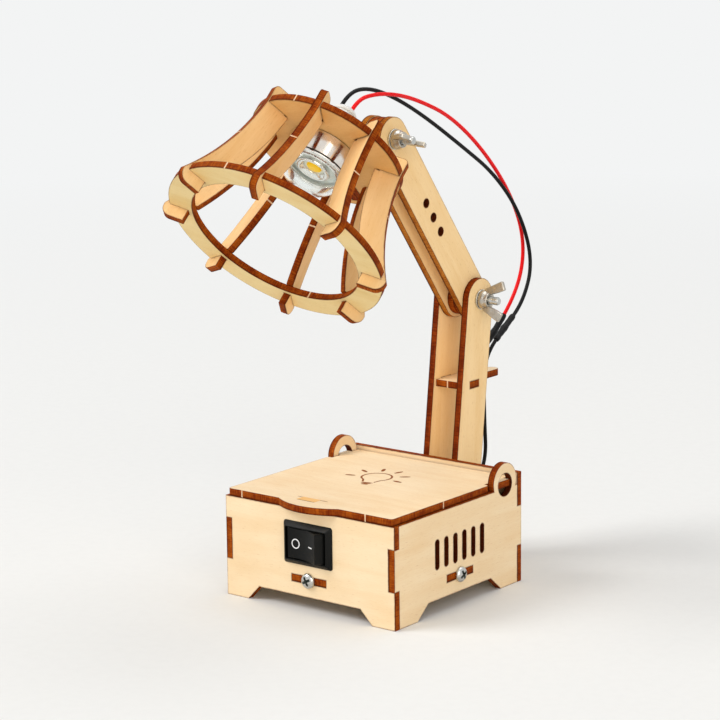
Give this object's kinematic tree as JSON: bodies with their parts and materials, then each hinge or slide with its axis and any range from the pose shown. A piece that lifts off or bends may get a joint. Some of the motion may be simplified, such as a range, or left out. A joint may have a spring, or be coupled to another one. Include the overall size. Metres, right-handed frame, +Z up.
{
  "type": "desk lamp",
  "caption": "Plywood desk lamp with a box base, hinged lid, rocker switch, leaning post, swing arm and a tilting bell shade of slotted ribs around an LED lamp.",
  "frame": {"origin": "on the table under the middle of the lamp's bounding box, leads left out", "axes": "+Z up, -Y towards the front with the switch, +X to the lamp's right side"},
  "size_m": [0.078, 0.1743, 0.1789],
  "materials": {
    "birch_ply": "laser-cut plywood with burnt edges",
    "zinc": "zinc plated",
    "black_plastic": "satin",
    "plated_contacts": "plated",
    "tray_plastic": "satin",
    "cell_jacket": "satin wrap",
    "black_insulation": "gloss",
    "red_insulation": "gloss",
    "heat_shrink": "satin",
    "white_aluminium": "polished",
    "dark_trim": "satin",
    "clear_lens": "clear",
    "board_white": "matt",
    "led_yellow": "phosphor",
    "silver_ring": "polished",
    "white_plastic": "gloss"
  },
  "bodies": {
    "base": {"base_front_panel": "birch_ply", "base_back_panel": "birch_ply", "base_left_panel": "birch_ply", "base_right_panel": "birch_ply", "base_floor": "birch_ply", "base_screws": "zinc", "base_nuts": "zinc", "switch_housing": "black_plastic", "switch_terminals": "plated_contacts", "battery_tray": "tray_plastic", "battery_cells": "cell_jacket", "battery_contacts": "plated_contacts", "post_left_upright": "birch_ply", "post_right_upright": "birch_ply", "post_crossbar": "birch_ply", "elbow_bolt": "zinc", "elbow_washer": "zinc", "lead_black_sleeve": "heat_shrink", "lead_red_sleeve": "heat_shrink", "lead_black_low": "black_insulation", "lead_red_low": "red_insulation", "lead_black_arm": "black_insulation", "lead_red_arm": "red_insulation"},
    "lid": {"lid": "birch_ply"},
    "rocker": {"switch_rocker": "black_plastic"},
    "arm": {"arm_left_plate": "birch_ply", "arm_right_plate": "birch_ply", "elbow_left_spacer": "birch_ply", "elbow_right_spacer": "birch_ply", "head_bolt": "zinc", "head_washer": "zinc", "lead_black_head": "black_insulation", "lead_red_head": "red_insulation"},
    "head": {"head_left_lug": "birch_ply", "head_right_lug": "birch_ply", "shade_top_plate": "birch_ply", "shade_bottom_ring": "birch_ply", "shade_rib_1": "birch_ply", "shade_rib_2": "birch_ply", "shade_rib_3": "birch_ply", "shade_rib_4": "birch_ply", "shade_rib_5": "birch_ply", "shade_rib_6": "birch_ply", "shade_rib_7": "birch_ply", "shade_rib_8": "birch_ply", "lamp_heat_sink": "white_aluminium", "lamp_trim_ring": "dark_trim", "lamp_lens": "clear_lens", "led_board": "board_white", "led_chip": "led_yellow", "led_holder": "silver_ring", "lamp_neck": "white_plastic"},
    "elbow_nut": {"elbow_wing_nut": "zinc"},
    "head_nut": {"head_wing_nut": "zinc"}
  },
  "joints": [
    {"name": "lid_hinge", "type": "hinge", "parent": "base", "child": "lid", "pos_m": [0, 0.0303, 0.03705], "axis": [-1, 0, 0], "range_deg": [0, 90]},
    {"name": "rocker_tilt", "type": "hinge", "parent": "base", "child": "rocker", "pos_m": [0, -0.0313, 0.0238], "axis": [0, 0, 1], "range_deg": [0, 20]},
    {"name": "elbow_swing", "type": "hinge", "parent": "base", "child": "arm", "pos_m": [0, 0.0567, 0.0957], "axis": [1, 0, 0], "range_deg": [-60, 12], "deforming": ["lead_black_arm", "lead_red_arm"]},
    {"name": "head_tilt", "type": "hinge", "parent": "arm", "child": "head", "pos_m": [0, 0.00965, 0.15791], "axis": [1, 0, 0], "range_deg": [-30, 40], "deforming": ["lead_black_head", "lead_red_head"]},
    {"name": "elbow_nut_turn", "type": "hinge", "parent": "base", "child": "elbow_nut", "pos_m": [0.012, 0.0567, 0.0957], "axis": [1, 0, 0], "continuous": true},
    {"name": "head_nut_turn", "type": "hinge", "parent": "arm", "child": "head_nut", "pos_m": [0.01, 0.00965, 0.15791], "axis": [1, 0, 0], "continuous": true}
  ]
}
